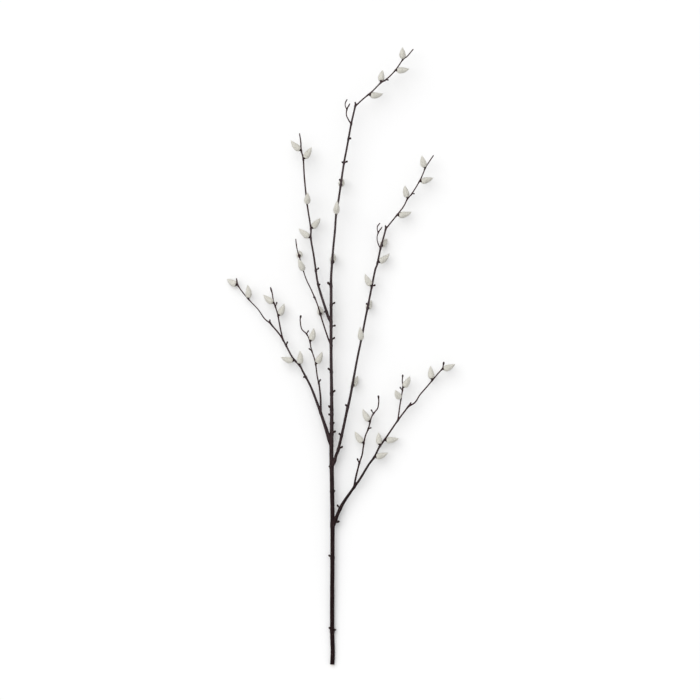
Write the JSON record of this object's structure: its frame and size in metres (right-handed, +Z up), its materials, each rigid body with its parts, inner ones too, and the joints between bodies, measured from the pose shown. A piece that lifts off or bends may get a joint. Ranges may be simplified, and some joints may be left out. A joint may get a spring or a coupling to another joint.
{
  "type": "pussy willow branch",
  "caption": "Cut pussy willow branch lying flat: a dark woody stem with side shoots, spurs and buds, and soft grey-white catkins seated in bud cups.",
  "frame": {"origin": "on the surface the branch lies on, under the middle of its outline seen from above", "axes": "+Y along the stem from the cut end to the tips, +X to the right seen from above, +Z up from the surface"},
  "size_m": [0.4263, 1.1529, 0.0567],
  "materials": {
    "bark": "dark brown young bark, smooth with fine ridges and pale lenticels, satin",
    "catkin_down": "dense silky off-white down, matte"
  },
  "bodies": {
    "root": {"wood": "bark", "catkin_01": "catkin_down", "catkin_02": "catkin_down", "catkin_03": "catkin_down", "catkin_04": "catkin_down", "catkin_05": "catkin_down", "catkin_06": "catkin_down", "catkin_07": "catkin_down", "catkin_08": "catkin_down", "catkin_09": "catkin_down", "catkin_10": "catkin_down", "catkin_11": "catkin_down", "catkin_12": "catkin_down", "catkin_13": "catkin_down", "catkin_14": "catkin_down", "catkin_15": "catkin_down", "catkin_16": "catkin_down", "catkin_17": "catkin_down", "catkin_18": "catkin_down", "catkin_19": "catkin_down", "catkin_20": "catkin_down", "catkin_21": "catkin_down", "catkin_22": "catkin_down", "catkin_23": "catkin_down", "catkin_24": "catkin_down", "catkin_25": "catkin_down", "catkin_26": "catkin_down", "catkin_27": "catkin_down", "catkin_28": "catkin_down", "catkin_29": "catkin_down", "catkin_30": "catkin_down", "catkin_31": "catkin_down", "catkin_32": "catkin_down", "catkin_33": "catkin_down", "catkin_34": "catkin_down", "catkin_35": "catkin_down", "catkin_36": "catkin_down", "catkin_37": "catkin_down", "catkin_38": "catkin_down", "catkin_39": "catkin_down", "catkin_40": "catkin_down", "catkin_41": "catkin_down", "catkin_42": "catkin_down"}
  },
  "joints": []
}
